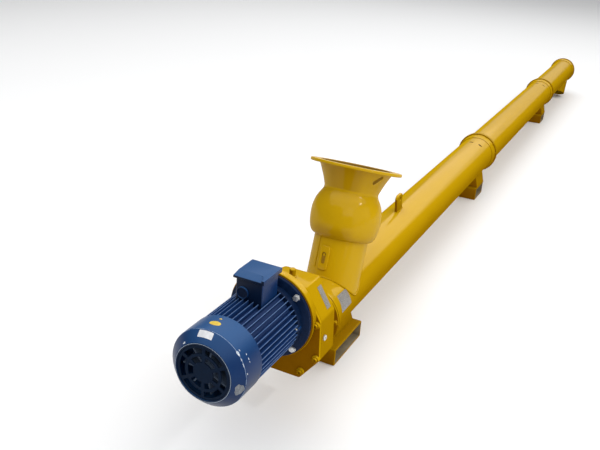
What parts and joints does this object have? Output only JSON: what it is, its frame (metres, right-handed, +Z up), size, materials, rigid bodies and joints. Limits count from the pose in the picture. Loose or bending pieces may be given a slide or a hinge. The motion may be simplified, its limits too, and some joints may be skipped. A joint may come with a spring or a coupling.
{
  "type": "tubular screw conveyor",
  "caption": "Level tubular screw conveyor on box feet, with a leaning ball inlet and flared collar, a slanted discharge spout and a geared motor in line at the inlet end.",
  "frame": {"origin": "on the floor below the point where the inlet's axis meets the tube's axis, in the plane of the feet's undersides", "axes": "+X along the tube from the motor to the discharge, +Y to the left when looking along +X, +Z up"},
  "size_m": [7.2323, 0.36, 0.7927],
  "materials": {
    "yellow_paint": "gloss enamel",
    "navy_paint": "satin enamel",
    "dark_paint": "satin enamel in shade",
    "black_plastic": "matt",
    "bare_steel": "worn",
    "gasket": "matt"
  },
  "bodies": {
    "root": {"tube_section_1": "yellow_paint", "tube_section_2": "yellow_paint", "tube_section_3": "yellow_paint", "drive_end_flange": "yellow_paint", "joint_1_near_flange": "yellow_paint", "joint_1_far_flange": "yellow_paint", "joint_1_gasket": "gasket", "joint_2_near_flange": "yellow_paint", "joint_2_far_flange": "yellow_paint", "joint_2_gasket": "gasket", "discharge_end_flange": "yellow_paint", "drive_end_plate": "yellow_paint", "discharge_end_plate": "yellow_paint", "seal_housing": "yellow_paint", "end_bearing": "yellow_paint", "inlet_spout": "yellow_paint", "spout_pad": "yellow_paint", "inlet_ball": "yellow_paint", "inlet_collar": "yellow_paint", "inlet_flange": "yellow_paint", "discharge_spout": "yellow_paint", "foot_1_box": "yellow_paint", "foot_1_saddle": "yellow_paint", "foot_2_box": "yellow_paint", "foot_2_saddle": "yellow_paint", "foot_3_box": "yellow_paint", "foot_3_saddle": "yellow_paint", "lifting_lug": "yellow_paint", "gearbox_housing": "yellow_paint", "gearbox_cover": "yellow_paint", "filler_plug": "yellow_paint", "level_plug": "bare_steel", "motor_adapter": "yellow_paint", "motor_flange": "navy_paint", "motor_frame": "navy_paint", "motor_rear_shield": "navy_paint", "terminal_box": "navy_paint", "terminal_box_lid": "navy_paint", "cable_gland": "navy_paint", "fan_cowl": "navy_paint", "fan_grille": "dark_paint", "cooling_fan": "black_plastic", "screw_shaft": "bare_steel", "screw_flight_1": "bare_steel", "screw_flight_2": "bare_steel", "screw_flight_3": "bare_steel"}
  },
  "joints": []
}
